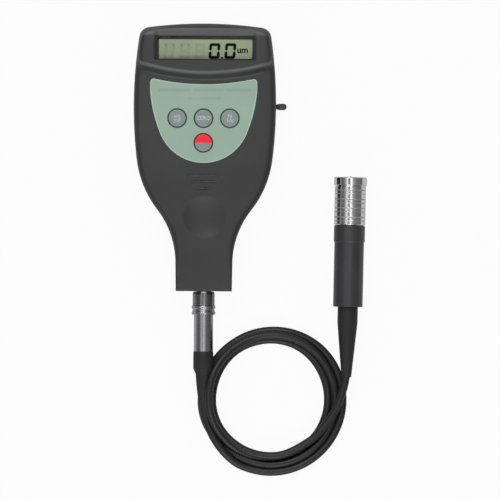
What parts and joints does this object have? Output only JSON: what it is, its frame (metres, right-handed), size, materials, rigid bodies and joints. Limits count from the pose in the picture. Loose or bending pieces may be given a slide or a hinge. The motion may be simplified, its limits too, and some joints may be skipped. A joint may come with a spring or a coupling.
{
  "type": "surface roughness tester",
  "caption": "Hand-held surface profile gauge lying on its back, with a display, round keys and a round probe on a coiled lead.",
  "frame": {"origin": "middle of the case's flat back", "axes": "+X to the right across the display, +Y towards the display end, +Z out of the face"},
  "size_m": [0.1076, 0.208, 0.027],
  "materials": {
    "case_plastic": "fine matt texture",
    "cell_wrap": "shrink-wrapped",
    "nickel": "nickel plated",
    "board_laminate": "solder mask over glass laminate",
    "component_black": "moulded",
    "switch_steel": "stamped",
    "strip_rubber": "layered silicone",
    "lcd_glass": "green-grey reflective cell",
    "window_clear": "clear polished plastic",
    "plate_film": "pale green printed film",
    "key_rubber": "grey-green, satin",
    "power_key_rubber": "grey-green with a red upper half",
    "screw_steel": "zinc plated",
    "jack_rubber": "satin",
    "socket_chrome": "polished nickel",
    "insert_black": "moulded",
    "wire_sheath": "coloured flexible sheath",
    "plug_chrome": "satin chrome",
    "pin_gold": "gold plated",
    "boot_rubber": "satin",
    "probe_steel": "turned and polished",
    "probe_black": "satin black",
    "core_iron": "soft magnetic core",
    "coil_copper": "enamelled copper wire",
    "tip_steel": "hardened and ground",
    "cord_rubber": "satin dark grey sheath"
  },
  "bodies": {
    "case": {"rear_shell": "case_plastic", "front_shell": "case_plastic", "batteries": "cell_wrap", "battery_contacts": "nickel", "main_board": "board_laminate", "processor_chip": "component_black", "small_components": "component_black", "buzzer": "component_black", "key_switches": "switch_steel", "contact_strips": "strip_rubber", "lcd_frame": "component_black", "lcd_panel": "lcd_glass", "display_window": "window_clear", "faceplate": "plate_film", "case_screws": "screw_steel", "board_screws": "screw_steel", "data_jack": "component_black", "sensor_socket": "socket_chrome", "socket_nut": "socket_chrome", "socket_insert": "insert_black", "board_connector": "insert_black", "sensor_wires": "wire_sheath"},
    "lead": {"plug_shell": "plug_chrome", "plug_insert": "insert_black", "plug_pins": "pin_gold", "plug_boot": "boot_rubber", "lead_plug_end": "cord_rubber", "lead_coil": "cord_rubber", "lead_probe_end": "cord_rubber", "probe_boot": "boot_rubber", "probe_body": "probe_black", "probe_nose": "probe_steel", "tip_guide": "probe_steel", "probe_core": "core_iron", "sensor_coil": "coil_copper"},
    "key_left": {"key_left": "key_rubber"},
    "key_middle": {"key_middle": "key_rubber"},
    "key_right": {"key_right": "key_rubber"},
    "key_power": {"key_power": "power_key_rubber"},
    "battery_cover": {"battery_cover": "case_plastic"},
    "jack_cover": {"jack_cover": "jack_rubber"},
    "plug_sleeve": {"plug_sleeve": "plug_chrome"},
    "probe_tip": {"probe_tip": "tip_steel", "tip_spring": "nickel"}
  },
  "joints": [
    {"name": "left_key_press", "type": "slide", "parent": "case", "child": "key_left", "axis": [0, 0, -1], "range_m": [0, 0.0008], "stiffness_N_per_m": 1500},
    {"name": "middle_key_press", "type": "slide", "parent": "case", "child": "key_middle", "axis": [0, 0, -1], "range_m": [0, 0.0008], "stiffness_N_per_m": 1500},
    {"name": "right_key_press", "type": "slide", "parent": "case", "child": "key_right", "axis": [0, 0, -1], "range_m": [0, 0.0008], "stiffness_N_per_m": 1500},
    {"name": "power_key_press", "type": "slide", "parent": "case", "child": "key_power", "axis": [0, 0, -1], "range_m": [0, 0.0008], "stiffness_N_per_m": 1500},
    {"name": "battery_cover_slide", "type": "slide", "parent": "case", "child": "battery_cover", "axis": [0, 1, 0], "range_m": [0, 0.05]},
    {"name": "jack_cover_pull", "type": "slide", "parent": "case", "child": "jack_cover", "axis": [1, 0, 0], "range_m": [0, 0.008]},
    {"name": "plug_pull", "type": "slide", "parent": "case", "child": "lead", "axis": [0, -1, 0], "range_m": [0, 0.01]},
    {"name": "sleeve_pull", "type": "slide", "parent": "lead", "child": "plug_sleeve", "axis": [0, -1, 0], "range_m": [0, 0.0012], "stiffness_N_per_m": 1500},
    {"name": "tip_press", "type": "slide", "parent": "lead", "child": "probe_tip", "axis": [-0.0153, -0.9999, 0], "range_m": [0, 0.0007], "stiffness_N_per_m": 800, "deforming": ["tip_spring"]}
  ]
}
